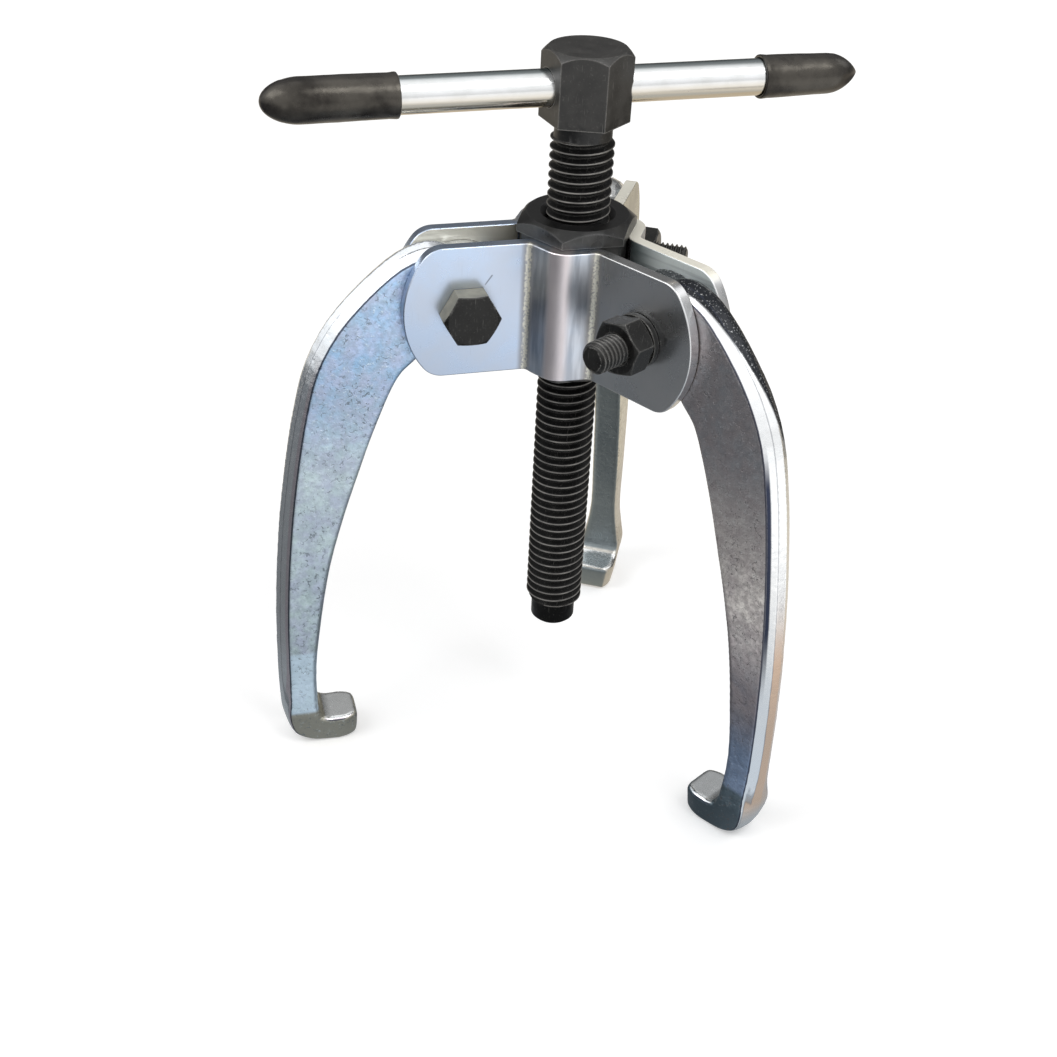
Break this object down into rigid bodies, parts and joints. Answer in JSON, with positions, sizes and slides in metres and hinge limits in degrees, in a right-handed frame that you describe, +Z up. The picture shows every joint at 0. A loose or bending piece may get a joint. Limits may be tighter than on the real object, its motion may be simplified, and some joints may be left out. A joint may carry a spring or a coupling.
{
  "type": "motor housing puller",
  "caption": "Small screw puller for motor housings: a T-handled spindle in a folded-plate yoke, with swinging forged arms whose hooks grip under a rim.",
  "frame": {"origin": "centre of the spindle's plain nose, at the lower edge of its round wall, with the spindle as far down as in the picture", "axes": "+Z up along the spindle to its head; -Y towards the front yoke plate, which lies between the left and right arms; +X to the right"},
  "size_m": [0.0892, 0.0784, 0.1238],
  "materials": {
    "yoke_black_oxide": "satin black oxide with an oil sheen",
    "plate_zinc": "bright zinc plate, satin, rubbed along the folds",
    "forging_zinc": "zinc plated forging, finely pitted sides and bright edges",
    "fastener_black_oxide": "black oxide with rubbed edges",
    "spindle_black_oxide": "black oxide, oiled, brighter on the thread's crests",
    "bearing_steel": "polished",
    "bar_zinc": "bright zinc plate",
    "black_vinyl": "dull dipped vinyl"
  },
  "bodies": {
    "yoke": {"yoke_nut": "yoke_black_oxide", "front_yoke_plate": "plate_zinc", "right_yoke_plate": "plate_zinc", "left_yoke_plate": "plate_zinc", "left_pivot_bolt": "fastener_black_oxide", "right_pivot_bolt": "fastener_black_oxide", "rear_pivot_bolt": "fastener_black_oxide", "left_spring_washer": "fastener_black_oxide", "right_spring_washer": "fastener_black_oxide", "rear_spring_washer": "fastener_black_oxide", "left_hex_nut": "fastener_black_oxide", "right_hex_nut": "fastener_black_oxide", "rear_hex_nut": "fastener_black_oxide"},
    "pressure_ball": {"pressure_ball": "bearing_steel"},
    "spindle": {"spindle": "spindle_black_oxide"},
    "t_bar": {"t_bar": "bar_zinc", "left_bar_cap": "black_vinyl", "right_bar_cap": "black_vinyl"},
    "left_arm": {"left_arm": "forging_zinc"},
    "right_arm": {"right_arm": "forging_zinc"},
    "rear_arm": {"rear_arm": "forging_zinc"}
  },
  "joints": [
    {"name": "spindle_feed", "type": "slide", "parent": "yoke", "child": "pressure_ball", "axis": [0, 0, 1], "range_m": [-0.0135, 0.045]},
    {"name": "spindle_turn", "type": "hinge", "parent": "pressure_ball", "child": "spindle", "pos_m": [0, 0, 0.05], "axis": [0, 0, 1], "range_deg": [-3240, 10800]},
    {"name": "bar_slide", "type": "slide", "parent": "spindle", "child": "t_bar", "axis": [0.849, 0.5284, 0], "range_m": [-0.0212, 0.0219]},
    {"name": "left_arm_swing", "type": "hinge", "parent": "yoke", "child": "left_arm", "pos_m": [-0.01585, -0.00915, 0.064], "axis": [-0.5, 0.866, 0], "range_deg": [-22, 75]},
    {"name": "right_arm_swing", "type": "hinge", "parent": "yoke", "child": "right_arm", "pos_m": [0.01585, -0.00915, 0.064], "axis": [-0.5, -0.866, 0], "range_deg": [-22, 75]},
    {"name": "rear_arm_swing", "type": "hinge", "parent": "yoke", "child": "rear_arm", "pos_m": [0, 0.0183, 0.064], "axis": [1, 0, 0], "range_deg": [-22, 75]}
  ],
  "couplings": [
    {"joint": "spindle_feed", "follows": "spindle_turn", "m_per_rad": 0.00023873}
  ]
}
